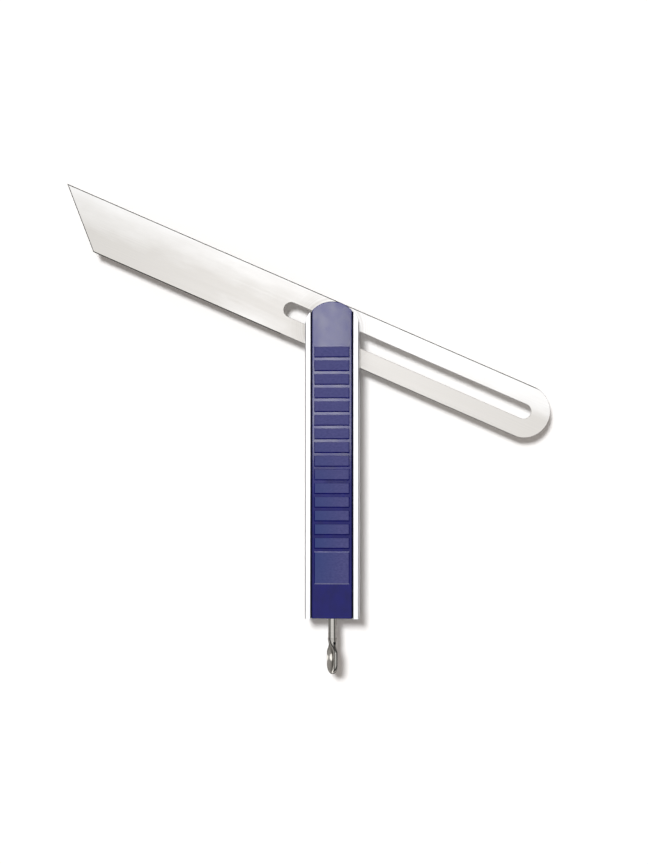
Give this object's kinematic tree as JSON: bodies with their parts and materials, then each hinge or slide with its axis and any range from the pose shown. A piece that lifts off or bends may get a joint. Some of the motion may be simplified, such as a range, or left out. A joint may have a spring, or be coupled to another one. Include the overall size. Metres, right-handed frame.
{
  "type": "sliding bevel gauge",
  "caption": "Sliding bevel gauge: slotted steel blade with a 45 degree tip, set to any angle in a forked aluminium handle with blue grips and locked by a small key at the butt.",
  "frame": {"origin": "on the pivot axis, in the plane of the handle's rear face", "axes": "+Y along the handle to its round end, -Y to the butt and key, +Z from the rear face to the front face, +X to the blade's round end side as pictured"},
  "size_m": [0.2285, 0.2314, 0.0198],
  "materials": {
    "aluminium_extrusion": "extruded, satin, sharp machined ends",
    "blade_steel": "stainless strip, ground satin",
    "navy_plastic": "moulded, polished field with satin raised tiles",
    "nickel_plate": "nickel plated, polished",
    "bright_steel": "turned and polished",
    "dark_steel": "oiled black",
    "brass": "turned",
    "washer_plastic": "natural acetal"
  },
  "bodies": {
    "handle": {"handle_body": "aluminium_extrusion", "front_grip_insert": "navy_plastic", "rear_grip_insert": "navy_plastic", "front_insert_peg": "bright_steel", "rear_insert_peg": "bright_steel", "front_friction_washer": "washer_plastic", "rear_friction_washer": "washer_plastic", "disc_spring": "dark_steel", "seat_plate": "bright_steel", "ramp_collar": "bright_steel", "threaded_bush": "brass", "bush_dowel": "bright_steel"},
    "pivot": {"pivot_pin": "bright_steel", "pin_nut": "dark_steel"},
    "blade": {"blade": "blade_steel"},
    "wedge": {"wedge_fork": "dark_steel"},
    "lock_screw": {"lock_rod": "nickel_plate", "thrust_washer": "brass", "rod_clip": "dark_steel", "thumb_key": "nickel_plate", "key_pin": "dark_steel"}
  },
  "joints": [
    {"name": "blade_swing", "type": "hinge", "parent": "handle", "child": "pivot", "pos_m": [0, 0, 0.0095], "axis": [0, 0, 1], "range_deg": [-233.5, 102]},
    {"name": "blade_slide", "type": "slide", "parent": "pivot", "child": "blade", "axis": [0.915, -0.4035, 0], "range_m": [-0.0962, 0.0203]},
    {"name": "wedge_slide", "type": "slide", "parent": "handle", "child": "wedge", "axis": [0, 1, 0], "range_m": [-0.00121, 0]},
    {"name": "key_turn", "type": "hinge", "parent": "wedge", "child": "lock_screw", "pos_m": [0, -0.14, 0.01436], "axis": [0, 1, 0], "range_deg": [-630, 8]}
  ],
  "couplings": [
    {"joint": "key_turn", "follows": "wedge_slide", "rad_per_m": 8976}
  ]
}
